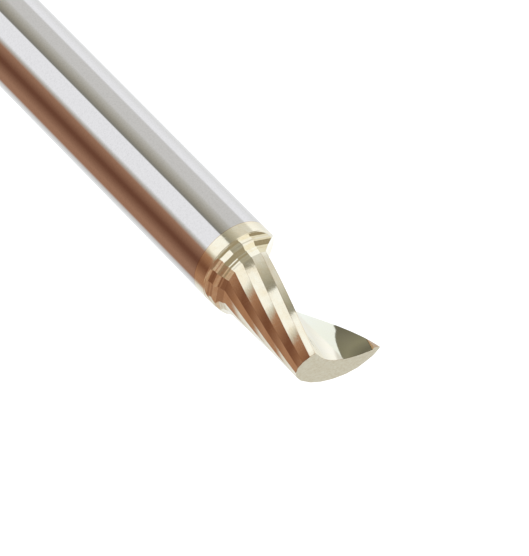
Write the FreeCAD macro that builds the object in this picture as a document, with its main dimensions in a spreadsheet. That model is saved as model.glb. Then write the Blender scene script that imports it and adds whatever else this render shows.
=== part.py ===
import FreeCAD, Part
import Sketcher
import math
import os

# Spiral O-flute router bit, ground from one carbide rod, in millimetres and degrees.
# The bit stands on the flat rear end of its shank, with Z along the axis towards the tip.
# At the tip the cutting corner lies on +X. Angles round the axis are counted from there,
# and the section turns with the right-hand spiral on its way down to the shank.

doc = FreeCAD.newDocument("router_bit")

driving = {
    "shank_diameter": 6.35,
    "shank_length": 39.0,
    "rear_chamfer": 0.5,
    "overall_length": 50.8,
    "cutting_diameter": 6.35,
    "spiral_lead": 52.0,
    # round margin and relief flat behind the cutting edge
    "margin_width": 0.12,
    "relief_angle": 24,
    # flats ground along the spiral, one after another from the flute wall to the relief flat
    "facet_count": 12,
    "first_facet_turn": 9,
    "last_facet_turn": 12,
    "facet_depth": 0.645,
    "back_rise": 0.28,
    "run_out_length": 1.6,
    # the flute in section: wall, round root, floor, hook and the land beside the edge
    "flute_wall_angle": 122.5,
    "flute_wall_offset": 0.29,
    "flute_root_radius": 1.9,
    "flute_floor_tilt": 5,
    "flute_floor_lead": 0.05,
    "hook_width": 0.634,
    "edge_land_width": 0.47,
    "edge_land_tilt": 29,
    # where the flute wheel lifts out of the rod
    "flute_overrun": 0.48,
    "flute_exit_length": 6.75,
    "flute_exit_depth": 2.46,
    "flute_exit_angle": 45,
    # the slanted end face, highest at the cutting corner
    "end_slant": 22.5,
    "end_slant_angle": 34,
}

sizes = doc.addObject("Spreadsheet::Sheet", "sizes")
for row, (alias, value) in enumerate(driving.items(), start=1):
    sizes.set(f"A{row}", alias)
    sizes.set(f"B{row}", str(value))
    sizes.setAlias(f"B{row}", alias)
doc.recompute()

# How far a cut reaches past the metal, how far a wheel's arc carries on below its ground depth,
# and how far a block that only bounds another cut reaches past the metal
overcut = 1.0
toe = 0.25
clear = 2.0

shank_radius = "sizes.shank_diameter / 2"
cut_radius = "sizes.cutting_diameter / 2"
head_start = "(sizes.shank_length + sizes.run_out_length)"
head_length = f"(sizes.overall_length - {head_start} + {overcut})"
core_apothem = f"({cut_radius} - sizes.facet_depth)"
relief_apothem = (f"(sqrt(({cut_radius})^2 - sizes.margin_width^2) * cos(sizes.relief_angle)"
                  " + sizes.margin_width * sin(sizes.relief_angle))")
first_normal = "(sizes.flute_wall_angle + sizes.first_facet_turn)"
last_normal = "(360 - sizes.relief_angle - sizes.last_facet_turn)"
facet_pitch = f"({last_normal} - {first_normal}) / (sizes.facet_count - 1)"
edge_land_angle = "(0 - sizes.edge_land_tilt)"
hook_start_x = f"({cut_radius} - sizes.edge_land_width * cos(sizes.edge_land_tilt) - sizes.hook_width)"
flute_end = "(sizes.shank_length - sizes.flute_overrun)"
flute_start = f"({flute_end} - {overcut})"
flute_length = f"(sizes.overall_length - {flute_start} + {overcut})"

# A wheel's arc that rises from its ground depth to the rod's surface over the length that it runs out in
run_out_depth = f"({shank_radius} - {core_apothem})"
run_out_radius = f"((sizes.run_out_length^2 + {run_out_depth}^2) / (2 * {run_out_depth}))"
path_radius = f"(max({cut_radius}; {shank_radius}) + {overcut})"
exit_depth = f"({cut_radius} + sizes.flute_exit_depth)"
exit_radius = f"((sizes.flute_exit_length^2 + {exit_depth}^2) / (2 * {exit_depth}))"
exit_top = f"(sizes.overall_length - {flute_end} + {clear})"

# From the cutting corner, how far the slanted end face can reach across the rod
end_reach = f"(sizes.cutting_diameter / cos(sizes.end_slant) + {overcut})"


def turn_at(height):
    """Angle of the section at a height above the rear end."""
    return f"(360 / sizes.spiral_lead * ({height} - sizes.overall_length))"


def value(expression):
    return float(sizes.evalExpression(expression))


def ground_flats():
    """Normal angle and distance from the axis of each facet, and of the relief flat after them.

    The first facets lie round the core, the last ones rise towards the back of the edge.
    """
    flats = []
    for index in range(round(value("sizes.facet_count"))):
        normal = f"({first_normal} + {index} * {facet_pitch})"
        rise = f"sizes.back_rise * max(0; cos({normal} - {last_normal}))"
        flats.append((normal, f"({core_apothem} + {rise})"))
    return flats + [("(360 - sizes.relief_angle)", relief_apothem)]


def polar(radius, degrees):
    angle = math.radians(degrees)
    return FreeCAD.Vector(radius * math.cos(angle), radius * math.sin(angle), 0)


def crossing(point_a, way_a, point_b, way_b):
    """Where two lines of a section cross."""
    gap = point_b - point_a
    spread = way_a.x * way_b.y - way_a.y * way_b.x
    return point_a + way_a * ((gap.x * way_b.y - gap.y * way_b.x) / spread)


def leaves_circle(point, way, radius):
    """Where a line that starts inside a circle round the axis leaves it."""
    along = point.dot(way)
    return point + way * (math.sqrt(along**2 - point.dot(point) + radius**2) - along)


def arc(centre, start, end):
    """Anticlockwise arc from one point to another."""
    first = math.atan2(start.y - centre.y, start.x - centre.x)
    last = math.atan2(end.y - centre.y, end.x - centre.x)
    if last < first:
        last += 2 * math.pi
    circle = Part.Circle(centre, FreeCAD.Vector(0, 0, 1), (start - centre).Length)
    return Part.ArcOfCircle(circle, first, last)


def place(feature, position, rotation, offset="create(<<vector>>; 0; 0; 0)"):
    """Turns an object and sets it at a position, moved on by an offset in its own turned axes."""
    feature.setExpression("Placement",
                          f"create(<<placement>>; {position} + {rotation} * {offset}; {rotation})")


def new_sketch(name, height="0", turn="0", tilt="0"):
    """Sketch at a height on the axis, turned round it, lying flat or stood up by the tilt."""
    sketch = doc.addObject("Sketcher::SketchObject", name)
    place(sketch, f"create(<<vector>>; 0; 0; {height})", f"create(<<rotation>>; {turn}; 0; {tilt})")
    return sketch


def bind(sketch, name, constraint, expression):
    number = sketch.addConstraint(constraint)
    sketch.renameConstraint(number, name)
    sketch.setExpression(f"Constraints.{name}", expression)


def add_lines(sketch, points):
    """Straight lines from point to point, tied end to end."""
    lines = [sketch.addGeometry(Part.LineSegment(a, b)) for a, b in zip(points, points[1:])]
    for first, second in zip(lines, lines[1:]):
        tie(sketch, first, second)
    return lines


def tie(sketch, first, second, kind="Coincident"):
    """The end of one curve is the start of the next."""
    sketch.addConstraint(Sketcher.Constraint(kind, first, 2, second, 1))


def hold_square(sketch, horizontal, vertical):
    for line in horizontal:
        sketch.addConstraint(Sketcher.Constraint("Horizontal", line))
    for line in vertical:
        sketch.addConstraint(Sketcher.Constraint("Vertical", line))


def centre_on_axis(sketch, curve, name, radius):
    sketch.addConstraint(Sketcher.Constraint("Coincident", curve, 3, -1, 1))
    bind(sketch, name, Sketcher.Constraint("Radius", curve, value(radius)), radius)


def add_part(kind, name, **properties):
    part = doc.addObject(f"Part::{kind}", name)
    for key, setting in properties.items():
        setattr(part, key, setting)
    return part


def add_spiral(name, height, length):
    spiral = add_part("Helix", name)
    spiral.setExpression("Pitch", "sizes.spiral_lead")
    spiral.setExpression("Radius", cut_radius)
    spiral.setExpression("Height", length)
    place(spiral, f"create(<<vector>>; 0; 0; {height})", f"create(<<rotation>>; {turn_at(height)}; 0; 0)")
    return spiral


# Shank: half its outline, turned round the axis, with a chamfer at the rear end
def draw_shank(sketch):
    radius = value(shank_radius)
    top = value(head_start)
    chamfer = value("sizes.rear_chamfer")
    corners = [(0, 0), (radius - chamfer, 0), (radius, chamfer), (radius, top), (0, top), (0, 0)]
    rear, slope, side, end, axis = add_lines(sketch, [FreeCAD.Vector(x, y, 0) for x, y in corners])
    tie(sketch, axis, rear)
    hold_square(sketch, [rear, end], [side, axis])
    sketch.addConstraint(Sketcher.Constraint("Coincident", rear, 1, -1, 1))
    bind(sketch, "radius", Sketcher.Constraint("DistanceX", -1, 1, side, 1, radius), shank_radius)
    bind(sketch, "top", Sketcher.Constraint("DistanceY", -1, 1, side, 2, top), head_start)
    bind(sketch, "chamfer", Sketcher.Constraint("DistanceY", -1, 1, side, 1, chamfer), "sizes.rear_chamfer")
    bind(sketch, "chamfer_foot", Sketcher.Constraint("DistanceX", rear, 2, side, 1, chamfer),
         "sizes.rear_chamfer")


# The ground flats, closed by an arc round the axis from the relief flat on to the first facet
def draw_flats(sketch, outer_radius):
    radius = value(outer_radius)
    flats = ground_flats()
    feet = [polar(value(apothem), value(normal)) for normal, apothem in flats]
    ways = [polar(1, value(normal) + 90) for normal, apothem in flats]
    points = [leaves_circle(feet[0], -ways[0], radius)]
    points += [crossing(feet[i], ways[i], feet[i + 1], ways[i + 1]) for i in range(len(flats) - 1)]
    points += [leaves_circle(feet[-1], ways[-1], radius)]
    lines = add_lines(sketch, points)
    rod = sketch.addGeometry(arc(FreeCAD.Vector(), points[-1], points[0]))
    tie(sketch, lines[-1], rod)
    tie(sketch, rod, lines[0])

    centre_on_axis(sketch, rod, "outer_radius", outer_radius)
    for i, (normal, apothem) in enumerate(flats):
        angle = f"({normal} + 90)"
        bind(sketch, f"flat_angle_{i}",
             Sketcher.Constraint("Angle", lines[i], math.radians(value(angle))), angle)
        bind(sketch, f"flat_apothem_{i}",
             Sketcher.Constraint("Distance", -1, 1, lines[i], value(apothem)), apothem)
    return [f"Edge{number}" for number in range(1, len(lines) + 1)]


# The wheel's round shoulder where the flats run out into the shank, seen along a flat
def draw_run_out(sketch):
    depth = value(run_out_depth)
    radius = value(run_out_radius)
    foot = depth + toe
    far = depth + overcut
    drop = math.sqrt(radius**2 - (radius - foot)**2)
    centre = FreeCAD.Vector(radius, 0, 0)
    shoulder = sketch.addGeometry(arc(centre, FreeCAD.Vector(), FreeCAD.Vector(foot, -drop, 0)))
    corners = [(foot, -drop), (far, -drop), (far, overcut), (0, overcut), (0, 0)]
    low, outside, high, inside = add_lines(sketch, [FreeCAD.Vector(x, y, 0) for x, y in corners])
    tie(sketch, shoulder, low)
    tie(sketch, inside, shoulder)
    hold_square(sketch, [low, high], [outside, inside])
    sketch.addConstraint(Sketcher.Constraint("Coincident", shoulder, 1, -1, 1))
    sketch.addConstraint(Sketcher.Constraint("PointOnObject", shoulder, 3, -1))
    bind(sketch, "wheel_radius", Sketcher.Constraint("Radius", shoulder, radius), run_out_radius)
    bind(sketch, "foot", Sketcher.Constraint("DistanceX", -1, 1, shoulder, 2, foot),
         f"{run_out_depth} + {toe}")
    bind(sketch, "far_side", Sketcher.Constraint("DistanceX", -1, 1, outside, 1, far),
         f"{run_out_depth} + {overcut}")
    sketch.addConstraint(Sketcher.Constraint("DistanceY", -1, 1, high, 1, overcut))


# The flute in section, closed outside the rod
def draw_flute(sketch):
    edge = FreeCAD.Vector(value(cut_radius), 0, 0)
    outside = value(cut_radius) + overcut
    wall_angle = value("sizes.flute_wall_angle")
    floor_angle = -value("sizes.flute_floor_tilt")
    land_angle = value(edge_land_angle)
    wall_way = polar(1, wall_angle)
    wall_foot = polar(value("sizes.flute_wall_offset"), wall_angle + 90)
    floor_way = polar(1, floor_angle)
    floor_foot = polar(value("sizes.flute_floor_lead"), floor_angle + 90)
    floor_normal = polar(1, floor_angle + 90)

    root = crossing(wall_foot, wall_way, floor_foot, floor_way)
    root_radius = value("sizes.flute_root_radius")
    half_turn = math.radians((180 - wall_angle + floor_angle) / 2)
    setback = root_radius * math.tan(half_turn)
    wall_end = root + wall_way * setback
    floor_start = root + floor_way * setback
    root_centre = floor_start + floor_normal * root_radius
    hook_start = floor_foot + floor_way * ((value(hook_start_x) - floor_foot.x) / floor_way.x)
    land_way = polar(1, land_angle)
    land_start = edge - land_way * value("sizes.edge_land_width")
    span = land_start - hook_start
    hook_centre = hook_start + floor_normal * (span.dot(span) / (2 * span.dot(floor_normal)))

    wall_top = leaves_circle(wall_foot, wall_way, outside)
    wall = sketch.addGeometry(Part.LineSegment(wall_top, wall_end))
    root_arc = sketch.addGeometry(arc(root_centre, wall_end, floor_start))
    floor = sketch.addGeometry(Part.LineSegment(floor_start, hook_start))
    hook = sketch.addGeometry(arc(hook_centre, hook_start, land_start))
    beyond_edge = leaves_circle(edge - land_way, land_way, outside)
    land, beyond = add_lines(sketch, [land_start, edge, beyond_edge])
    air = sketch.addGeometry(arc(FreeCAD.Vector(), beyond_edge, wall_top))

    tie(sketch, wall, root_arc, "Tangent")
    tie(sketch, root_arc, floor, "Tangent")
    tie(sketch, floor, hook, "Tangent")
    tie(sketch, hook, land)
    tie(sketch, beyond, air)
    tie(sketch, air, wall)
    centre_on_axis(sketch, air, "outside", f"{cut_radius} + {overcut}")
    bind(sketch, "wall_angle", Sketcher.Constraint("Angle", wall, math.radians(wall_angle - 180)),
         "sizes.flute_wall_angle - 180")
    bind(sketch, "wall_offset",
         Sketcher.Constraint("Distance", -1, 1, wall, value("sizes.flute_wall_offset")),
         "sizes.flute_wall_offset")
    bind(sketch, "root_radius", Sketcher.Constraint("Radius", root_arc, root_radius),
         "sizes.flute_root_radius")
    bind(sketch, "floor_angle", Sketcher.Constraint("Angle", floor, math.radians(floor_angle)),
         "0 - sizes.flute_floor_tilt")
    bind(sketch, "floor_lead",
         Sketcher.Constraint("Distance", -1, 1, floor, value("sizes.flute_floor_lead")),
         "sizes.flute_floor_lead")
    bind(sketch, "hook_start", Sketcher.Constraint("DistanceX", -1, 1, hook, 1, hook_start.x),
         hook_start_x)
    bind(sketch, "edge", Sketcher.Constraint("DistanceX", -1, 1, land, 2, edge.x), cut_radius)
    sketch.addConstraint(Sketcher.Constraint("PointOnObject", land, 2, -1))
    bind(sketch, "edge_land_width",
         Sketcher.Constraint("Distance", land, value("sizes.edge_land_width")),
         "sizes.edge_land_width")
    for name, line in (("land_angle", land), ("beyond_angle", beyond)):
        bind(sketch, name, Sketcher.Constraint("Angle", line, math.radians(land_angle)), edge_land_angle)


# The space that the flute wheel sweeps as it lifts out, seen across the flute
def draw_flute_exit(sketch):
    depth = value(exit_depth)
    length = value("sizes.flute_exit_length")
    radius = value(exit_radius)
    top = value(exit_top)
    outside = value(cut_radius) + clear
    level = -value("sizes.flute_exit_depth")
    foot_height = length - math.sqrt(radius**2 - (radius - depth - toe)**2)
    lift_start = FreeCAD.Vector(level, length, 0)
    lift_end = FreeCAD.Vector(level + depth + toe, foot_height, 0)
    corners = [(outside, foot_height), (outside, top), (-outside, top), (-outside, length)]
    lift = sketch.addGeometry(arc(FreeCAD.Vector(level + radius, length, 0), lift_start, lift_end))
    lines = add_lines(sketch, [lift_end] + [FreeCAD.Vector(x, y, 0) for x, y in corners] + [lift_start])
    foot, near, lid, far, ledge = lines
    tie(sketch, lift, foot)
    tie(sketch, ledge, lift)
    hold_square(sketch, [foot, lid, ledge], [near, far])
    sketch.addConstraint(Sketcher.Constraint("Horizontal", lift, 3, lift, 1))
    bind(sketch, "wheel_radius", Sketcher.Constraint("Radius", lift, radius), exit_radius)
    bind(sketch, "lift_start", Sketcher.Constraint("DistanceY", -1, 1, lift, 1, length),
         "sizes.flute_exit_length")
    bind(sketch, "level", Sketcher.Constraint("DistanceX", lift, 1, -1, 1, -level),
         "sizes.flute_exit_depth")
    bind(sketch, "lift_depth", Sketcher.Constraint("DistanceX", lift, 1, lift, 2, depth + toe),
         f"{exit_depth} + {toe}")
    bind(sketch, "near_side", Sketcher.Constraint("DistanceX", -1, 1, near, 1, outside),
         f"{cut_radius} + {clear}")
    bind(sketch, "far_side", Sketcher.Constraint("DistanceX", far, 1, -1, 1, outside),
         f"{cut_radius} + {clear}")
    bind(sketch, "top", Sketcher.Constraint("DistanceY", -1, 1, lid, 1, top), exit_top)


shank_profile = new_sketch("shank_profile", tilt="90")
draw_shank(shank_profile)
shank = add_part("Revolution", "shank", Source=shank_profile, Axis=FreeCAD.Vector(0, 0, 1), Solid=True)

# Faceted head, swept up the spiral
head_outline = new_sketch("head_outline", height=head_start, turn=turn_at(head_start))
draw_flats(head_outline, cut_radius)
head_spiral = add_spiral("head_spiral", head_start, head_length)
head_rod = add_part("Sweep", "head_rod", Sections=[head_outline], Spine=(head_spiral, ["Edge1"]),
                    Solid=True, Frenet=True)

# Run-outs: the shoulder's profile, led along the flats from one side of the rod to the other
run_out_path = new_sketch("run_out_path", height=head_start, turn=turn_at(head_start))
ground_edges = draw_flats(run_out_path, path_radius)
run_out_profile = doc.addObject("Sketcher::SketchObject", "run_out_profile")
place(run_out_profile, f"create(<<vector>>; 0; 0; {head_start})",
      f"create(<<rotation>>; {first_normal} + {turn_at(head_start)}; 0; 90)",
      f"create(<<vector>>; {core_apothem}; 0; sqrt({path_radius}^2 - {core_apothem}^2))")
draw_run_out(run_out_profile)
run_outs = add_part("Sweep", "run_outs", Sections=[run_out_profile], Spine=(run_out_path, ground_edges),
                    Solid=True, Frenet=False, Transition="Right corner")
ground_shank = add_part("Cut", "ground_shank", Base=shank, Tool=run_outs)
rod = add_part("Fuse", "rod", Base=ground_shank, Tool=head_rod)

# Flute: swept up the same spiral, as far down as its wheel lifts out
flute_outline = new_sketch("flute_outline", height=flute_start, turn=turn_at(flute_start))
draw_flute(flute_outline)
flute_spiral = add_spiral("flute_spiral", flute_start, flute_length)
flute_sweep = add_part("Sweep", "flute_sweep", Sections=[flute_outline], Spine=(flute_spiral, ["Edge1"]),
                       Solid=True, Frenet=True)
exit_profile = new_sketch("exit_profile", height=flute_end, turn="0 - sizes.flute_exit_angle", tilt="90")
draw_flute_exit(exit_profile)
flute_exit = add_part("Extrusion", "flute_exit", Base=exit_profile, DirMode="Normal", Symmetric=True,
                      Solid=True)
flute_exit.setExpression("LengthFwd", f"2 * ({cut_radius} + {clear})")
flute = add_part("Common", "flute", Base=flute_sweep, Tool=flute_exit)
fluted_rod = add_part("Cut", "fluted_rod", Base=rod, Tool=flute)

# End face: everything above a plane through the cutting corner goes
end_block = add_part("Box", "end_block")
end_block.setExpression("Length", f"2 * {end_reach}")
end_block.setExpression("Width", f"2 * {end_reach}")
end_block.setExpression("Height", end_reach)
place(end_block, f"create(<<vector>>; {cut_radius}; 0; sizes.overall_length)",
      "create(<<rotation>>; sizes.end_slant_angle; 0 - sizes.end_slant; 0)",
      f"create(<<vector>>; 0 - {end_reach}; 0 - {end_reach}; 0)")
router_bit = add_part("Cut", "router_bit", Base=fluted_rod, Tool=end_block, Label="router_bit")

doc.recompute()
for feature in doc.Objects:
    if {"Invalid", "Error"} & set(feature.State):
        raise RuntimeError(f"{feature.Label} didn't build: {feature.State}")

os.makedirs("parts", exist_ok=True)
for part in [router_bit]:
    if part.Shape.isNull() or not part.Shape.isValid() or len(part.Shape.Solids) != 1:
        raise RuntimeError(f"{part.Label} isn't one valid solid")
    part.Shape.exportStep(f"parts/{part.Label}.step")
    box = part.Shape.optimalBoundingBox(False)
    print(f"{part.Label}: {part.Shape.Volume:.1f} mm3, {len(part.Shape.Faces)} faces, "
          f"{box.XLength:.2f} x {box.YLength:.2f} x {box.ZLength:.2f} mm")
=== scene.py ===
import math

import bmesh
import bpy
import numpy as np
from mathutils import Matrix, Vector


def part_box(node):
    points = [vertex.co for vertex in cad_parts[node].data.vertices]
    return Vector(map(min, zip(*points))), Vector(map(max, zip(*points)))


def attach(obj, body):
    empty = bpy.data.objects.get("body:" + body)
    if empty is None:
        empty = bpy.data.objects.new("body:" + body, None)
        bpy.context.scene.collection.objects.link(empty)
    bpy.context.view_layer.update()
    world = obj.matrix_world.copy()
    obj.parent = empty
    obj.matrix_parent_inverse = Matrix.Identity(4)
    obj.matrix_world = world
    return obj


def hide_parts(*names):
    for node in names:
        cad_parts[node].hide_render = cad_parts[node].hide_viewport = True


# Dresses the router bit: one closed surface for the whole bit, its metals, and a small studio.
# Lengths are in millimetres and angles in degrees, until a mesh is made in metres.

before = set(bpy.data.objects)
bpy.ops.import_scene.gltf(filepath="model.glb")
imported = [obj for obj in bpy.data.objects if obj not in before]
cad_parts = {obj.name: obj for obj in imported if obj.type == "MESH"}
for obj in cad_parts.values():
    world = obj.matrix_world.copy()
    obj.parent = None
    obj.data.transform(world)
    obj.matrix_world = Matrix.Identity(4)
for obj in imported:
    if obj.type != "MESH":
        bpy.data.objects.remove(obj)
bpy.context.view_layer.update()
millimetre = 0.001

lowCorner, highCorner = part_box("router_bit")
rodRadius = (highCorner.x - lowCorner.x) / 2 / millimetre
overallLength = highCorner.z / millimetre
print("frame loaded: rod radius", round(rodRadius, 3), "length", round(overallLength, 3))


# The bit's surface

rod = {
    "shankLength": 39.0,      # rear end to where the run-outs begin
    "rearChamfer": 0.5,
    "spiralLead": 52.0,
    "marginWidth": 0.12,
    "reliefAngle": 24,
    "facetCount": 12,
    "facetDepth": 0.645,
    "backRise": 0.28,         # how much higher the last facets stand than the first ones
    "backLag": 0.7,           # and how much later they run out
    "firstFacetTurn": 9,
    "lastFacetTurn": 12,
    "runOutLength": 1.6,
    "runOutSteps": [          # height above the shank, share of the facet's depth
        (0.08, 0.0), (0.3, 0.3), (0.74, 0.4), (1.04, 0.74), (1.42, 0.94), (1.6, 1.0)],
    "rippleCount": 6,         # fine waves that the wheel's dressing leaves in the run-outs
    "rippleDepth": 0.004,
    "runOutTilt": 0.03,       # how much sooner each run-out comes for a step round the bit
    "runOutRise": 1.2,        # how steeply the wheel leaves the rod below that
    "ringHeight": 39.06,      # a shallow turned ring where the run-outs start
    "ringDepth": 0.03,
    "ringSteps": (0, 0.04, 1.0, 2.0),   # above that: its ramp in, its floor and its ramp out
    "coatingStart": 38.0,     # the coating's lower border on the shank
    "borderWidth": 0.07,      # width of the darker line along that border
    "cornerBrown": 0.55,      # how brown the corners between the flats are
}

flute = {
    "wallAngle": 122.5,
    "wallOffset": 0.29,
    "wallFoot": 1.6,          # where the wall turns into the hollow, along the wall
    "footReach": 1.74,        # how strongly the hollow keeps to the wall's direction
    "edgeReach": 1.81,        # and to its own direction at the cutting edge
    "edgeRise": 9.8,
    "edgeTurn": 1.0,          # the edge's turn ahead of the corner at the tip
    "edgeLead": 48.2,
    "landLength": 1.5,        # the small raised land behind the corner, which tapers downwards
    "landWidth": 0.44,
    "landHeight": 0.185,
    "landFoot": 0.105,        # share of the hollow that the land covers at the tip
    "overrun": 0.48,
    "exitLength": 6.75,
    "exitDepth": 2.46,
    "exitAngle": 45,
}

tip = {
    "slant": 22.5,
    "slantAngle": 34,
}

bitMesh = {
    "shankRows": 12,
    "runOutStep": 0.02,       # height of a row of faces where the flats run out
    "runOutSpare": 0.2,       # how far above the last run-out such rows go on
    "exitStep": 0.07,         # height of a row further up, where the flute's wheel lifts out
    "tipRows": 60,
    "facetColumns": 8,
    "marginColumns": 2,
    "landColumns": 4,
    "hollowColumns": 54,
    "wallColumns": 14,
    "roundColumns": 20,
    "creaseAngle": 9.0,       # a sharper bend than this between two faces is an edge
    "mergeDistance": 1e-8,    # in metres
    "samePlace": 1e-6,        # points nearer than this count as one
    "leastFacing": 0.2,       # a flat whose normal's cosine to a point is less is out of reach
    "halvings": 40,           # of a stretch that holds a border
    "tipSearches": 30,        # steps that find where a column meets the end face
    "openingMiddle": 20,      # an angle inside the flute's opening, from the corner on
    "searchSpans": {"flats": 1.2, "right": 2.2, "left": 3.0},   # how far borders are looked for, radians
}

headStart = rod["shankLength"] + rod["runOutLength"]
runOutTop = headStart + rod["backLag"] + bitMesh["runOutSpare"]
fluteEnd = rod["shankLength"] - flute["overrun"]
exitTop = fluteEnd + flute["exitLength"]
fullTurn = 2 * math.pi
exitWay = -math.radians(flute["exitAngle"])


def turnAt(z):
    # The section's turn: a whole turn for each lead below the tip
    return fullTurn / rod["spiralLead"] * (z - overallLength)


def unit(angle):
    # The direction at an angle: its cosine and its sine
    return np.stack([np.cos(angle), np.sin(angle)], axis=-1)


def wheelRadius(length, depth):
    # A wheel's arc that reaches a depth over a length
    return (length**2 + depth**2) / (2 * depth)


def groundFlats():
    # Normal, distance from the axis and lag of each facet and of the relief flat after them:
    # distance and lag grow with the cosine of the angle to the last facet
    relief = math.radians(rod["reliefAngle"])
    first = math.radians(flute["wallAngle"] + rod["firstFacetTurn"])
    last = fullTurn - relief - math.radians(rod["lastFacetTurn"])
    normals = np.linspace(first, last, rod["facetCount"])
    share = np.maximum(0, np.cos(normals - last))
    apothems = rodRadius - rod["facetDepth"] + rod["backRise"] * share
    reliefApothem = (math.sqrt(rodRadius**2 - rod["marginWidth"]**2) * math.cos(relief)
                     + rod["marginWidth"] * math.sin(relief))
    return np.stack([np.append(normals, fullTurn - relief), np.append(apothems, reliefApothem),
                     rod["backLag"] * np.append(share, 1.0)])


def flatReach(angle, z, flat):
    # A flat's reach from the axis: its distance, what the wheel has moved outwards and a sine of
    # the height for its ripples, over the cosine of the angle to its normal. The wheel leaves
    # along a tilted line, so the height counts from there
    normal, apothem, lag = flat
    offset = (angle - normal + math.pi) % fullTurn - math.pi
    height = z - rod["shankLength"] - lag + rod["runOutTilt"] * rodRadius * offset
    steps, shares = np.transpose(rod["runOutSteps"])
    growth = (rod["facetDepth"] * (1 - np.interp(height, steps, shares))
              + rod["runOutRise"] * np.maximum(-height, 0))
    waves = fullTurn * rod["rippleCount"] * np.clip(height / rod["runOutLength"], 0, 1)
    reach = apothem + growth + rod["rippleDepth"] * np.sin(waves)
    facing, least = np.cos(offset), bitMesh["leastFacing"]
    return np.where(facing > least, reach / np.maximum(facing, least), 2 * rodRadius)


def flatAngle(angle, z):
    # Angle in the flats' own frame, which turns with the spiral in the head only
    return angle - turnAt(np.maximum(z, headStart))


def ringDrop(z):
    # The ring's depth: a short ramp up to it, and a long one back to the rod's radius
    heights = rod["ringHeight"] + np.array(rod["ringSteps"])
    return np.interp(z, heights, [0, rod["ringDepth"], rod["ringDepth"], 0])


def outerRadius(angle, z):
    # Before the flute is cut: the smallest of the rod's radius and every flat's reach
    z = np.broadcast_to(z, np.shape(angle))
    reach = flatReach(flatAngle(angle, z)[..., None], z[..., None], groundFlats()).min(axis=-1)
    return np.minimum(rodRadius - ringDrop(z), reach)


def border(test, inside, outside, z):
    # Angle at which a test turns true, by halving the stretch between two angles
    for _ in range(bitMesh["halvings"]):
        middle = (inside + outside) / 2
        kept = test(middle, z)
        inside, outside = np.where(kept, inside, middle), np.where(kept, middle, outside)
    return outside


def flatStops(z):
    # Angles in the flats' frame, at each height: where the first flat starts, where each meets
    # the next, and where the relief flat ends
    flats = groundFlats()
    z = z[:, None]
    radius = rodRadius - ringDrop(z)

    def passes(flat):
        return lambda angle, z: flatReach(angle, z, flat) > radius

    def nextIsNearer(angle, z):
        return flatReach(angle, z, flats[:, :-1]) > flatReach(angle, z, flats[:, 1:])

    before = flats[0, :1] - bitMesh["searchSpans"]["flats"]
    start = border(passes(flats[:, :1]), flats[0, :1] + 0 * z, before + 0 * z, z)
    corners = border(nextIsNearer, flats[0, :-1] + 0 * z, flats[0, 1:] + 0 * z, z)
    end = border(passes(flats[:, -1:]), flats[0, -1:] + 0 * z, fullTurn + 0 * z, z)
    return np.concatenate([start, corners, end], axis=1)


def exitLine(z):
    # How far out the flute's wheel stands at a height: the arc that lifts it out of the rod
    depth = rodRadius + flute["exitDepth"]
    radius = wheelRadius(flute["exitLength"], depth)
    below = np.maximum(exitTop - z, 0)
    return radius - flute["exitDepth"] - np.sqrt(radius**2 - below**2)


def edgeAngle(z):
    # The cutting edge has a spiral of its own, a little steeper than the facets'
    return fullTurn / flute["edgeLead"] * (z - overallLength) + math.radians(flute["edgeTurn"])


def fluteColumns():
    # For each column after the cutting edge, up to the wall's foot: share across the land, share
    # down the land's side, and share along the hollow
    land = np.linspace(0, 1, bitMesh["landColumns"] + 1)[1:]
    hollow = np.linspace(0, 1, bitMesh["hollowColumns"] + 1)[1:]
    across = np.concatenate([land, 1 + 0 * land, 1 + 0 * hollow])
    down = np.concatenate([0 * land, land, 1 + 0 * hollow])
    along = np.concatenate([0 * land, 0 * land, hollow])
    return across[:, None], down[:, None], along[:, None]


def flutePoints(z):
    # The flute in section, for heights of rows or of single points: a land that shrinks with the
    # distance below the tip, then a cubic curve from the cutting edge to the foot of the wall
    wallWay = unit(math.radians(flute["wallAngle"]))
    foot = unit(math.radians(flute["wallAngle"] + 90)) * flute["wallOffset"] + wallWay * flute["wallFoot"]
    turn = turnAt(z)
    edge = turned(outerPoint(edgeAngle(z), z), -turn)
    left = np.clip((z - overallLength) / flute["landLength"] + 1, 0, 1)[..., None]
    across, down, along = fluteColumns()
    share = (1 - flute["landFoot"] * left) * (1 - along)
    bend = edge - unit(math.radians(flute["edgeRise"])) * flute["edgeReach"]
    curve = ((1 - share)**3 * foot + 3 * (1 - share)**2 * share * (foot - wallWay * flute["footReach"])
             + 3 * (1 - share) * share**2 * bend + share**3 * edge)
    land = edge + across * left * np.array([-flute["landWidth"], flute["landHeight"]])
    return land + down * (curve - land)


def outerPoint(angle, z):
    # The rod's outside at an angle: its radius there times that direction
    return outerRadius(angle, z)[..., None] * unit(angle)


def beyondWall(angle, z):
    # True on the rod's side of the flute's wall
    wallNormal = unit(turnAt(z) + math.radians(flute["wallAngle"] + 90))
    return (outerPoint(angle, z) * wallNormal).sum(axis=-1) > flute["wallOffset"]


def keepsMetal(angle, z):
    # True where the flute leaves the rod's outside: behind the corner, beyond the wall, or
    # where its wheel has lifted out
    lifted = outerPoint(angle, z) @ unit(exitWay) < exitLine(z)
    return (angle < edgeAngle(z)) | beyondWall(angle, z) | lifted


def turned(points, angle):
    # Points turned about the axis: x cosine less y sine, and x sine plus y cosine
    cosine, sine = np.cos(angle), np.sin(angle)
    x, y = points[..., 0], points[..., 1]
    return np.stack([x * cosine - y * sine, x * sine + y * cosine], axis=-1)


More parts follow.
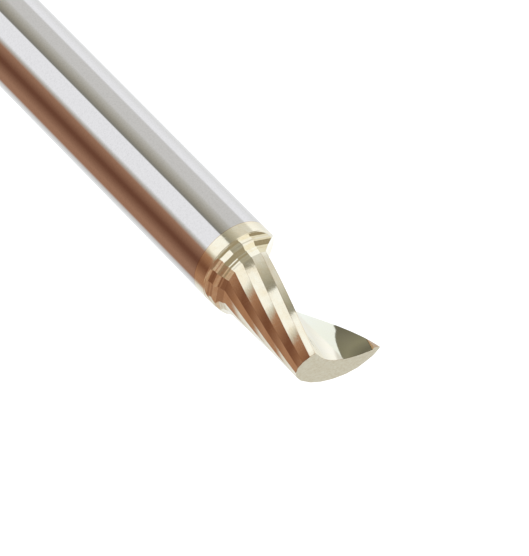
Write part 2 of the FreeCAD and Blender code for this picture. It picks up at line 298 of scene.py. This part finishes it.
def openingBorders(z):
    # Where the flute's opening starts and ends on the rod's outside at each height
    spans = bitMesh["searchSpans"]
    middle = np.maximum(exitWay, turnAt(z) + math.radians(bitMesh["openingMiddle"]))
    right = border(keepsMetal, middle, middle - spans["right"], z)
    left = border(keepsMetal, middle, middle + spans["left"], z)
    wall = border(beyondWall, middle, middle + spans["left"], z)
    closed = z <= fluteEnd
    return np.where(closed, exitWay, right), np.where(closed, exitWay, left), wall


def outerColumns(z, right, left):
    # Angles of the outside's columns: from the flute's left border round the back to its right
    # border, with a column on each corner between two flats
    inner = flatStops(z)
    seam = exitWay - turnAt(headStart) + 0 * z[:, None]
    stops = np.concatenate([seam, inner, 0 * seam + fullTurn, seam + fullTurn], axis=1)
    facets = inner.shape[1] - 1
    counts = ([bitMesh["roundColumns"]] + [bitMesh["facetColumns"]] * facets
              + [bitMesh["marginColumns"], bitMesh["roundColumns"]])
    parts = [stops[:, i:i + 1] + (stops[:, i + 1:i + 2] - stops[:, i:i + 1])
             * np.linspace(0, 1, count, endpoint=False) for i, count in enumerate(counts)]
    angles = np.concatenate(parts + [stops[:, -1:]], axis=1)
    angles = angles + turnAt(np.maximum(z, headStart))[:, None]
    return np.clip(angles, left[:, None], right[:, None] + fullTurn)


def bitSection(z):
    # One closed outline for each height: the outside, then the flute's surface. Where the flute's
    # wheel has lifted, the flute's points are pushed out along the lift to its straight line,
    # and kept between the two ends of the opening
    right, left, wall = openingBorders(z)
    angles = outerColumns(z, right, left)
    outside = outerPoint(angles, z[:, None])
    base = turned(flutePoints(z[:, None]), turnAt(z)[:, None])
    steps = np.linspace(0, 1, bitMesh["wallColumns"] + 1)[1:-1, None]
    wallTop = outerPoint(wall, z)[:, None]
    inside = np.concatenate([base, base[:, -1:] + steps * (wallTop - base[:, -1:])], axis=1)

    out = unit(exitWay)
    across = unit(exitWay + math.pi / 2)
    ends = np.stack([outerPoint(right, z), outerPoint(left, z)], axis=1)
    line = np.minimum(exitLine(z), (ends @ out).max(axis=1))[:, None]
    pushed = inside @ out < line
    place = np.clip(inside @ across, (ends[:, :1] @ across), (ends[:, 1:] @ across))
    moved = line[..., None] * out + place[..., None] * across
    inside = np.where(pushed[..., None], moved, inside)
    inside = np.where((z <= fluteEnd)[:, None, None], ends[:, :1], inside)
    return np.concatenate([outside, inside], axis=1), angles


def headPoints(z, section, angles):
    # The full section above the flute's exit, for a height at each point. The columns keep their
    # place on the spiral, but those on the margin stretch to the cutting edge
    turn = turnAt(z)
    outer = slice(0, len(angles))
    hollow = slice(len(angles), len(angles) + len(fluteColumns()[0]))
    wall = slice(hollow.stop, len(section))
    local = angles - turnAt(exitTop)
    margin = fullTurn - math.asin(rod["marginWidth"] / rodRadius)
    edge = edgeAngle(z[..., outer]) - turn[..., outer] + fullTurn
    stretched = margin + (local - margin) * (edge - margin) / (local.max() - margin)
    local = np.where(local > margin, stretched, local)
    wallPoints = turned(section[wall], turn[..., wall] - turnAt(exitTop))
    return np.concatenate([outerPoint(local + turn[..., outer], z[..., outer]),
                           turned(flutePoints(z[..., hollow]), turn[..., hollow]), wallPoints], axis=-2)


def tipHeight(x, y):
    # The slanted end face: a plane through the cutting corner
    slant, way = math.radians(tip["slant"]), math.radians(tip["slantAngle"])
    return overallLength + math.tan(slant) * ((x - rodRadius) * math.cos(way) + y * math.sin(way))


def bitRows():
    # Heights of the rows below the tip's own rows
    runOut = np.arange(fluteEnd, runOutTop, bitMesh["runOutStep"])
    lift = np.linspace(runOutTop, exitTop, round((exitTop - runOutTop) / bitMesh["exitStep"]))
    plain = np.linspace(rod["rearChamfer"], rod["coatingStart"], bitMesh["shankRows"])
    return np.concatenate([plain, plain[-1:] + rod["borderWidth"], runOut, lift])


def bitSurface():
    # Grid of points: even rows up to where the flute's wheel is fully in, then each column goes
    # on along its own spiral to the end face, found by stepping the height until it stays
    z = bitRows()
    sections, angles = bitSection(z)
    body = np.concatenate([sections, z[:, None, None] + 0 * sections[..., :1]], axis=2)
    rear = body[:1].copy()
    rear[..., :2] *= (rodRadius - rod["rearChamfer"]) / rodRadius
    rear[..., 2] = 0

    top, topAngles = sections[-1], angles[-1]
    height = np.full(len(top), exitTop)
    for _ in range(bitMesh["tipSearches"]):
        end = headPoints(height, top, topAngles)
        height = tipHeight(end[:, 0], end[:, 1])
    share = np.linspace(0, 1, bitMesh["tipRows"] + 1)[1:, None]
    rise = exitTop + share * (height - exitTop)
    tipPart = np.concatenate([headPoints(rise, top, topAngles), rise[..., None]], axis=2)
    return np.concatenate([rear, body, tipPart]), topAngles - turnAt(exitTop)


def surfaceMap(points, angles):
    # Each point's place on the ground surface, in millimetres: across, from the column's place
    # round the bit, and up, counted from lines square to the spiral
    around = angles * rodRadius
    top = points[len(bitRows()) + 1, :, :2]
    steps = np.linalg.norm(np.diff(np.append(top, top[:1], axis=0), axis=0), axis=1)
    across = np.append(around, around[-1] + np.cumsum(steps[len(angles) - 1:]))
    up = np.append(points[..., 2], points[:, :1, 2], axis=1)
    return np.stack([across + 0 * up, up + across * fullTurn * rodRadius / rod["spiralLead"]], axis=2)


def makeMesh(name, points, places, materialIndex, rim, creaseAngle):
    # A grid of rows and closed columns with a flat face at each end, in metres
    rows, columns = points.shape[:2]
    mesh = bpy.data.meshes.new(name)
    row, column = np.meshgrid(np.arange(rows - 1), np.arange(columns), indexing="ij")
    following = (column + 1) % columns
    faces = np.stack([row * columns + column, row * columns + following,
                      (row + 1) * columns + following, (row + 1) * columns + column], axis=-1)
    last = (rows - 1) * columns
    ends = [list(range(columns))[::-1], list(range(last, last + columns))]
    corners = (points.reshape(-1, 3) * millimetre).tolist()
    mesh.from_pydata(corners, [], faces.reshape(-1, 4).tolist() + ends)
    mesh.polygons.foreach_set("material_index", materialIndex)
    mesh.attributes.new("rim", "FLOAT", "POINT").data.foreach_set("value", rim)
    sides = np.stack([places[:-1, :-1], places[:-1, 1:], places[1:, 1:], places[1:, :-1]], axis=2)
    allPlaces = [sides.reshape(-1, 2), points[0, ::-1, :2], points[-1, :, :2]]
    mesh.uv_layers.new(name="surface").data.foreach_set("uv", np.concatenate(allPlaces).ravel())
    work = bmesh.new()
    work.from_mesh(mesh)
    bmesh.ops.remove_doubles(work, verts=work.verts, dist=bitMesh["mergeDistance"])
    bmesh.ops.dissolve_degenerate(work, edges=work.edges, dist=bitMesh["mergeDistance"])
    work.to_mesh(mesh)
    work.free()
    mesh.polygons.foreach_set("use_smooth", np.ones(len(mesh.polygons), bool))
    mesh.set_sharp_from_angle(angle=math.radians(creaseAngle))
    piece = bpy.data.objects.new(name, mesh)
    bpy.context.scene.collection.objects.link(piece)
    return piece


def bitMaterials(points, outerCount):
    # Shank below the coating's border, coated facets and flute above it, the rear and end faces
    heights = (points[:-1, :, 2] + points[1:, :, 2]) / 2
    coated = np.where(np.arange(points.shape[1]) < outerCount - 1, 1, 2)
    sides = np.where(heights < rod["coatingStart"], 0, coated)
    return np.append(sides.ravel(), [0, 3]).astype(np.int32)


def ridges(points, outerCount):
    # How brown each point is: along the coating's border, round the end face and on the land
    # behind the cutting corner, and fainter, above the run-outs, on the corners between flats and
    # on the flute's borders
    height = points[..., 2]
    facets = rod["facetCount"] + 1
    corners = bitMesh["roundColumns"] + bitMesh["facetColumns"] * np.arange(facets + 1)
    brown = np.zeros(height.shape)
    brown[:, corners] = rod["cornerBrown"] * (height[:, corners] > headStart)
    for edge in (0, outerCount - 1):
        onEdge = np.abs(points - points[:, edge:edge + 1]).max(axis=2) < bitMesh["samePlace"]
        brown[onEdge & (height > headStart)] = rod["cornerBrown"]
    land = slice(outerCount, outerCount + 2 * bitMesh["landColumns"])
    # Painted reflection: the land behind the cutting corner is painted full copper brown, standing in for
    # the brown surroundings it would mirror
    brown[:, land][height[:, land] > overallLength - flute["landLength"]] = 1
    brown[-1] = 1
    brown[height == rod["coatingStart"]] = 1
    return brown.ravel()


bitPoints, outerAngles = bitSurface()
bitPlaces = surfaceMap(bitPoints, outerAngles)
outerCount = len(outerAngles)
bit = makeMesh("routerBit", bitPoints, bitPlaces, bitMaterials(bitPoints, outerCount),
               ridges(bitPoints, outerCount), bitMesh["creaseAngle"])
print("bit surface:", len(bit.data.polygons), "faces")
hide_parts("router_bit")
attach(bit, "root")


# Materials

def linear(code):
    # sRGB hex to linear: the power law above the dark end, a straight line below it
    values = [int(code[i:i + 2], 16) / 255 for i in (1, 3, 5)]
    return [v / 12.92 if v <= 0.04045 else ((v + 0.055) / 1.055) ** 2.4 for v in values] + [1]


def addNode(tree, kind, settings=None, links=None):
    # One node: its own settings by name, its sockets' values or the outputs that feed them. A
    # colour Mix has its two colours in sockets 6 and 7, and its result in output 2
    node = tree.nodes.new(kind)
    for key, value in (settings or {}).items():
        setattr(node, key, value)
    for key, value in (links or {}).items():
        if isinstance(value, bpy.types.NodeSocket):
            tree.links.new(value, node.inputs[key])
        else:
            node.inputs[key].default_value = value
    return node


noiseRange = (0.3, 0.75)         # where most of a noise pattern's values lie


def newMaterial(name):
    material = bpy.data.materials.new(name)
    material.use_nodes = True
    material.node_tree.nodes.clear()
    return material, material.node_tree


def finishMetal(tree, colour, roughness, normal):
    # The metal's own shader, and the material's output
    shader = addNode(tree, "ShaderNodeBsdfPrincipled", links={
        "Base Color": colour, "Metallic": 1.0, "Roughness": roughness, "Normal": normal})
    addNode(tree, "ShaderNodeOutputMaterial", links={"Surface": shader.outputs["BSDF"]})


shank = {
    "colour": "#DAD8D5",
    "grainColour": "#D3D1CE",
    "grainPerMetre": 7000,       # carbide grain is finer than 0.01 mm: drawn at 0.14 mm to show
    "grainRange": (0.42, 0.68),  # the part of the noise over which the colours change
    "lineScale": (200, 200, 5000),    # wheel lines are about 0.01 mm apart: drawn at 0.2 mm to show
    "waveScale": (1800, 1800, 60),    # long faint waves along the rod, about 0.5 mm wide
    "lineDepth": 0.0000003,
    "waveDepth": 0.0000012,
    "smoothest": 0.03,
    "roughest": 0.07,
}


def makeShankMetal():
    # Tungsten carbide, centreless ground and polished: a sharp grey mirror with a fine grain in
    # it, faint lines round the rod and fainter waves along it
    material, tree = newMaterial("polishedCarbide")
    place = addNode(tree, "ShaderNodeTexCoord").outputs["Object"]
    grain = addNode(tree, "ShaderNodeTexNoise", links={
        "Vector": place, "Scale": shank["grainPerMetre"], "Detail": 3.0, "Roughness": 0.7})
    grainShare = addNode(tree, "ShaderNodeMapRange", links={
        "Value": grain.outputs["Fac"],
        "From Min": shank["grainRange"][0], "From Max": shank["grainRange"][1]})
    colour = addNode(tree, "ShaderNodeMix", {"data_type": "RGBA"}, {
        "Factor": grainShare.outputs["Result"],
        6: linear(shank["colour"]), 7: linear(shank["grainColour"])})
    linePlace = addNode(tree, "ShaderNodeMapping", links={"Vector": place, "Scale": shank["lineScale"]})
    lines = addNode(tree, "ShaderNodeTexNoise", links={
        "Vector": linePlace.outputs["Vector"], "Scale": 1.0, "Detail": 2.0})
    wavePlace = addNode(tree, "ShaderNodeMapping", links={"Vector": place, "Scale": shank["waveScale"]})
    waves = addNode(tree, "ShaderNodeTexNoise", links={
        "Vector": wavePlace.outputs["Vector"], "Scale": 1.0, "Detail": 2.0})
    roughness = addNode(tree, "ShaderNodeMapRange", links={
        "Value": grain.outputs["Fac"], "From Min": noiseRange[0], "From Max": noiseRange[1],
        "To Min": shank["smoothest"], "To Max": shank["roughest"]})
    wave = addNode(tree, "ShaderNodeBump", links={
        "Height": waves.outputs["Fac"], "Distance": shank["waveDepth"]})
    bump = addNode(tree, "ShaderNodeBump", links={
        "Height": lines.outputs["Fac"], "Distance": shank["lineDepth"], "Normal": wave.outputs["Normal"]})
    finishMetal(tree, colour.outputs[2], roughness.outputs["Result"], bump.outputs["Normal"])
    return material


coating = {
    "colour": "#F0EBD6",
    "blotchColour": {"coatedFacets": "#EADDBE", "coatedFlute": "#F0EBDC"},
    "blotchRange": (0.4, 0.72),  # the part of the noise over which the colours change
    "rimColour": "#A0703F",      # copper brown along the ridges; on the land behind the cutting corner it is a painted reflection of brown surroundings
    "rimRange": (0.35, 1.0),     # how brown a point has to be for the stain to start, and to be full
    "rimStrength": 0.8,
    "blotchesPerMm": 0.7,
    "specksPerMm": 6.0,
    "linesPerMm": 5.0,           # wheel lines are about 0.02 mm apart: drawn at 0.2 mm to show
    "lineScale": {"coatedFacets": (0.12, 1, 1), "coatedFlute": (1, 0.1, 1)},   # draws them out
    "lineDepth": {"coatedFacets": 0.0000012, "coatedFlute": 0.0000006},
    "waveDepth": {"coatedFacets": 0.000008, "coatedFlute": 0.000003},
    "smoothest": {"coatedFacets": 0.07, "coatedFlute": 0.04},
    "roughest": {"coatedFacets": 0.2, "coatedFlute": 0.08},
}


def makeCoating(name):
    # Pale gold nitride coating on wheel-ground carbide: it keeps the wheel's lines, across the
    # facets and along the flute, and lies a little thicker in soft blotches
    material, tree = newMaterial(name)
    place = addNode(tree, "ShaderNodeUVMap", {"uv_map": "surface"}).outputs["UV"]
    blotch = addNode(tree, "ShaderNodeTexNoise", links={
        "Vector": place, "Scale": coating["blotchesPerMm"], "Detail": 5.0, "Roughness": 0.65})
    blotchShare = addNode(tree, "ShaderNodeMapRange", links={
        "Value": blotch.outputs["Fac"],
        "From Min": coating["blotchRange"][0], "From Max": coating["blotchRange"][1]})
    linePlace = addNode(tree, "ShaderNodeMapping", links={
        "Vector": place, "Scale": coating["lineScale"][name]})
    lines = addNode(tree, "ShaderNodeTexNoise", links={
        "Vector": linePlace.outputs["Vector"], "Scale": coating["linesPerMm"], "Detail": 3.0})
    fine = addNode(tree, "ShaderNodeTexNoise", links={
        "Vector": place, "Scale": coating["specksPerMm"], "Detail": 2.0})
    tint = addNode(tree, "ShaderNodeMix", {"data_type": "RGBA"}, {
        "Factor": blotchShare.outputs["Result"],
        6: linear(coating["colour"]), 7: linear(coating["blotchColour"][name])})
    # Copper brown painted along the ridges from the rim values; on the land it is a painted reflection
    rim = addNode(tree, "ShaderNodeAttribute", {"attribute_name": "rim"})
    rimShare = addNode(tree, "ShaderNodeMapRange", links={
        "Value": rim.outputs["Fac"], "From Min": coating["rimRange"][0],
        "From Max": coating["rimRange"][1], "To Max": coating["rimStrength"]})
    colour = addNode(tree, "ShaderNodeMix", {"data_type": "RGBA"}, {
        "Factor": rimShare.outputs["Result"], 6: tint.outputs[2], 7: linear(coating["rimColour"])})
    roughness = addNode(tree, "ShaderNodeMapRange", links={
        "Value": lines.outputs["Fac"], "From Min": noiseRange[0], "From Max": noiseRange[1],
        "To Min": coating["smoothest"][name], "To Max": coating["roughest"][name]})
    wave = addNode(tree, "ShaderNodeBump", links={
        "Height": blotch.outputs["Fac"], "Distance": coating["waveDepth"][name]})
    speck = addNode(tree, "ShaderNodeBump", links={
        "Height": fine.outputs["Fac"], "Distance": coating["lineDepth"][name],
        "Normal": wave.outputs["Normal"]})
    bump = addNode(tree, "ShaderNodeBump", links={
        "Height": lines.outputs["Fac"], "Distance": coating["lineDepth"][name],
        "Normal": speck.outputs["Normal"]})
    finishMetal(tree, colour.outputs[2], roughness.outputs["Result"], bump.outputs["Normal"])
    return material


endFace = {
    "colour": "#CECAB4",
    "speckColour": "#C3BA9E",
    "specksPerMetre": 5500,
    "speckRange": (0.4, 0.7),    # the part of the noise over which the colours change
    "speckDepth": 0.0000025,
    "smoothest": 0.4,
    "roughest": 0.6,
}


def makeEndMetal():
    # The same coating on a coarse-ground end: it scatters the light, so it looks matte and finely
    # speckled
    material, tree = newMaterial("coarseGroundEnd")
    place = addNode(tree, "ShaderNodeTexCoord").outputs["Object"]
    specks = addNode(tree, "ShaderNodeTexNoise", links={
        "Vector": place, "Scale": endFace["specksPerMetre"], "Detail": 4.0, "Roughness": 0.7})
    share = addNode(tree, "ShaderNodeMapRange", links={
        "Value": specks.outputs["Fac"],
        "From Min": endFace["speckRange"][0], "From Max": endFace["speckRange"][1]})
    colour = addNode(tree, "ShaderNodeMix", {"data_type": "RGBA"}, {
        "Factor": share.outputs["Result"],
        6: linear(endFace["colour"]), 7: linear(endFace["speckColour"])})
    roughness = addNode(tree, "ShaderNodeMapRange", links={
        "Value": specks.outputs["Fac"], "To Min": endFace["smoothest"], "To Max": endFace["roughest"]})
    bump = addNode(tree, "ShaderNodeBump", links={
        "Height": specks.outputs["Fac"], "Distance": endFace["speckDepth"]})
    finishMetal(tree, colour.outputs[2], roughness.outputs["Result"], bump.outputs["Normal"])
    return material


bit.data.materials.append(makeShankMetal())
bit.data.materials.append(makeCoating("coatedFacets"))
bit.data.materials.append(makeCoating("coatedFlute"))
bit.data.materials.append(makeEndMetal())
print("metals made")


# Studio: a white floor, soft light, and surroundings that differ by direction only

paints = {                    # of the room's walls, cards and cloths
    "wall": "#F6F8FE", "cream": "#F2EFE6", "haze": "#E4E6E8", "linen": "#DFDDD4", "pale": "#D3D3D3",
    "stone": "#C4C3BE", "card": "#A29E92", "slate": "#82817A", "moss": "#828070", "shade": "#69675B",
    "olive": "#958B76", "tan": "#C8AF9A", "copper": "#A37B64", "rust": "#8C6550", "brown": "#714A39",
    "table": "#E9F0F5",
}

studio = {
    "floorSize": 4.0,
    "floorColour": "#F4F4F4",
    "floorGlow": 0.3,         # white that the floor adds for the eye alone
    "brightness": 1.2,
    # What the metal mirrors, by heading round the axis in degrees: one paint turns to the next
    "level": [
        (0, "wall"), (10, "wall"), (17, "pale"), (52, "pale"), (58, "stone"), (76, "card"), (88, "slate"),
        (90, "wall"), (133, "wall"), (140, "stone"), (148, "copper"), (162, "rust"), (175, "brown"),
        (182, "brown"), (212, "copper"), (234, "copper"), (245, "pale"), (266, "haze"), (330, "haze"),
        (360, "wall")],
    "middle": [
        (0, "wall"), (12, "linen"), (30, "linen"), (35, "wall"), (64, "wall"), (70, "card"), (95, "card"),
        (102, "wall"), (136, "wall"), (147, "tan"), (156, "rust"), (170, "rust"), (188, "brown"),
        (228, "copper"), (246, "pale"), (282, "wall"), (360, "wall")],
    "above": [
        (0, "wall"), (10, "olive"), (29, "olive"), (33, "cream"), (64, "cream"), (70, "olive"),
        (147, "olive"), (160, "rust"), (185, "copper"), (200, "tan"), (215, "copper"), (240, "tan"),
        (260, "wall"), (360, "wall")],
    "below": [
        (0, "shade"), (36, "moss"), (57, "shade"), (76, "moss"), (95, "stone"), (142, "stone"),
        (156, "copper"), (262, "copper"), (284, "stone"), (330, "card"), (350, "shade"), (360, "shade")],
    "overhead": "wall",
    "tableEdge": (-0.442, 0.285, -0.338),   # square to the plane through the table's far edge
    "tableFront": -0.797,                   # height of its near edge, as a share of the way down
    "edgeSoftness": 0.004,
    "frontSoftness": 0.003,
    # Where each layer of the room takes over from the one under it: sines of the elevation
    "layers": {"level": (-0.642, -0.622), "middle": (-0.4, -0.34), "above": (0.0, 0.18),
               "overhead": (0.8, 0.9)},
}


def makeWorld():
    # White for the eye and for the light that falls on things. A mirrored ray sees the room by
    # its heading, in layers from far below, past the edges of a white table, up to overhead
    world = bpy.data.worlds.new("studio")
    bpy.context.scene.world = world
    world.use_nodes = True
    tree = world.node_tree
    tree.nodes.clear()
    way = addNode(tree, "ShaderNodeTexCoord").outputs["Generated"]
    parts = addNode(tree, "ShaderNodeSeparateXYZ", links={"Vector": way})
    heading = addNode(tree, "ShaderNodeMath", {"operation": "ARCTAN2"}, {
        0: parts.outputs["Y"], 1: parts.outputs["X"]})
    turns = addNode(tree, "ShaderNodeMath", {"operation": "DIVIDE"}, {
        0: heading.outputs[0], 1: fullTurn})
    share = addNode(tree, "ShaderNodeMath", {"operation": "FRACT"}, {0: turns.outputs[0]})

    room = {"overhead": linear(paints[studio["overhead"]])}
    for name in ("level", "middle", "above", "below"):
        ramp = addNode(tree, "ShaderNodeValToRGB", links={"Fac": share.outputs[0]})
        stops = ramp.color_ramp.elements
        for degrees, paint in studio[name][1:-1]:
            stops.new(degrees / 360)
        for stop, (degrees, paint) in zip(stops, studio[name]):
            stop.position = degrees / 360
            stop.color = linear(paints[paint])
        room[name] = ramp.outputs["Color"]

    side = addNode(tree, "ShaderNodeVectorMath", {"operation": "DOT_PRODUCT"}, {
        0: way, 1: studio["tableEdge"]})
    pastEdge = addNode(tree, "ShaderNodeMapRange", links={
        "Value": side.outputs["Value"],
        "From Min": -studio["edgeSoftness"], "From Max": studio["edgeSoftness"]})
    pastFront = addNode(tree, "ShaderNodeMapRange", links={
        "Value": parts.outputs["Z"], "From Min": studio["tableFront"] + studio["frontSoftness"],
        "From Max": studio["tableFront"] - studio["frontSoftness"]})
    pastTable = addNode(tree, "ShaderNodeMath", {"operation": "MAXIMUM"}, {
        0: pastEdge.outputs["Result"], 1: pastFront.outputs["Result"]})
    seen = addNode(tree, "ShaderNodeMix", {"data_type": "RGBA"}, {
        "Factor": pastTable.outputs[0], 6: linear(paints["table"]), 7: room["below"]})
    for name, (low, high) in studio["layers"].items():
        layerShare = addNode(tree, "ShaderNodeMapRange", links={
            "Value": parts.outputs["Z"], "From Min": low, "From Max": high})
        seen = addNode(tree, "ShaderNodeMix", {"data_type": "RGBA"}, {
            "Factor": layerShare.outputs["Result"], 6: seen.outputs[2], 7: room[name]})
    mirrored = addNode(tree, "ShaderNodeBackground", links={
        "Color": seen.outputs[2], "Strength": studio["brightness"]})
    white = addNode(tree, "ShaderNodeBackground", links={"Color": (1, 1, 1, 1), "Strength": 1.0})
    path = addNode(tree, "ShaderNodeLightPath")
    mix = addNode(tree, "ShaderNodeMixShader", links={
        0: path.outputs["Is Glossy Ray"], 1: white.outputs[0], 2: mirrored.outputs[0]})
    addNode(tree, "ShaderNodeOutputWorld", links={"Surface": mix.outputs[0]})


def makeFloor():
    # White paper that takes the bit's shadow; the metal mirrors the room instead of it
    half = studio["floorSize"] / 2
    corners = [(-half, -half, 0), (half, -half, 0), (half, half, 0), (-half, half, 0)]
    mesh = bpy.data.meshes.new("floor")
    mesh.from_pydata(corners, [], [(0, 1, 2, 3)])
    floor = bpy.data.objects.new("floor", mesh)
    bpy.context.scene.collection.objects.link(floor)
    floor.visible_glossy = False
    material, tree = newMaterial("paperFloor")
    paper = addNode(tree, "ShaderNodeBsdfDiffuse", links={"Color": linear(studio["floorColour"])})
    glow = addNode(tree, "ShaderNodeEmission", links={"Color": (1, 1, 1, 1)})
    path = addNode(tree, "ShaderNodeLightPath")
    lift = addNode(tree, "ShaderNodeMath", {"operation": "MULTIPLY"}, {
        0: path.outputs["Is Camera Ray"], 1: studio["floorGlow"]})
    tree.links.new(lift.outputs[0], glow.inputs["Strength"])
    both = addNode(tree, "ShaderNodeAddShader", links={0: paper.outputs[0], 1: glow.outputs[0]})
    addNode(tree, "ShaderNodeOutputMaterial", links={"Surface": both.outputs[0]})
    mesh.materials.append(material)


makeWorld()
makeFloor()
bpy.context.scene.view_settings.view_transform = "Standard"
print("studio made")


# Camera: the photograph's view, with the bit's tip towards the lower right

camera = {
    "place": (-113.768, 297.147, 236.591),
    "right": (0.7961, -0.0876, 0.5988),
    "up": (0.5219, 0.6002, -0.6061),
    "lens": 233.467,
    "sensorHeight": 24,
}

right, up = Vector(camera["right"]), Vector(camera["up"])
back = right.cross(up)
view = bpy.data.cameras.new("photoView")
view.sensor_fit = "VERTICAL"
view.sensor_height = camera["sensorHeight"]
view.lens = camera["lens"]
viewer = bpy.data.objects.new("photoView", view)
bpy.context.scene.collection.objects.link(viewer)
turn = Matrix((right, up, back)).transposed().to_4x4()
viewer.matrix_world = Matrix.Translation(Vector(camera["place"]) * millimetre) @ turn
bpy.context.scene.camera = viewer
print("camera placed")
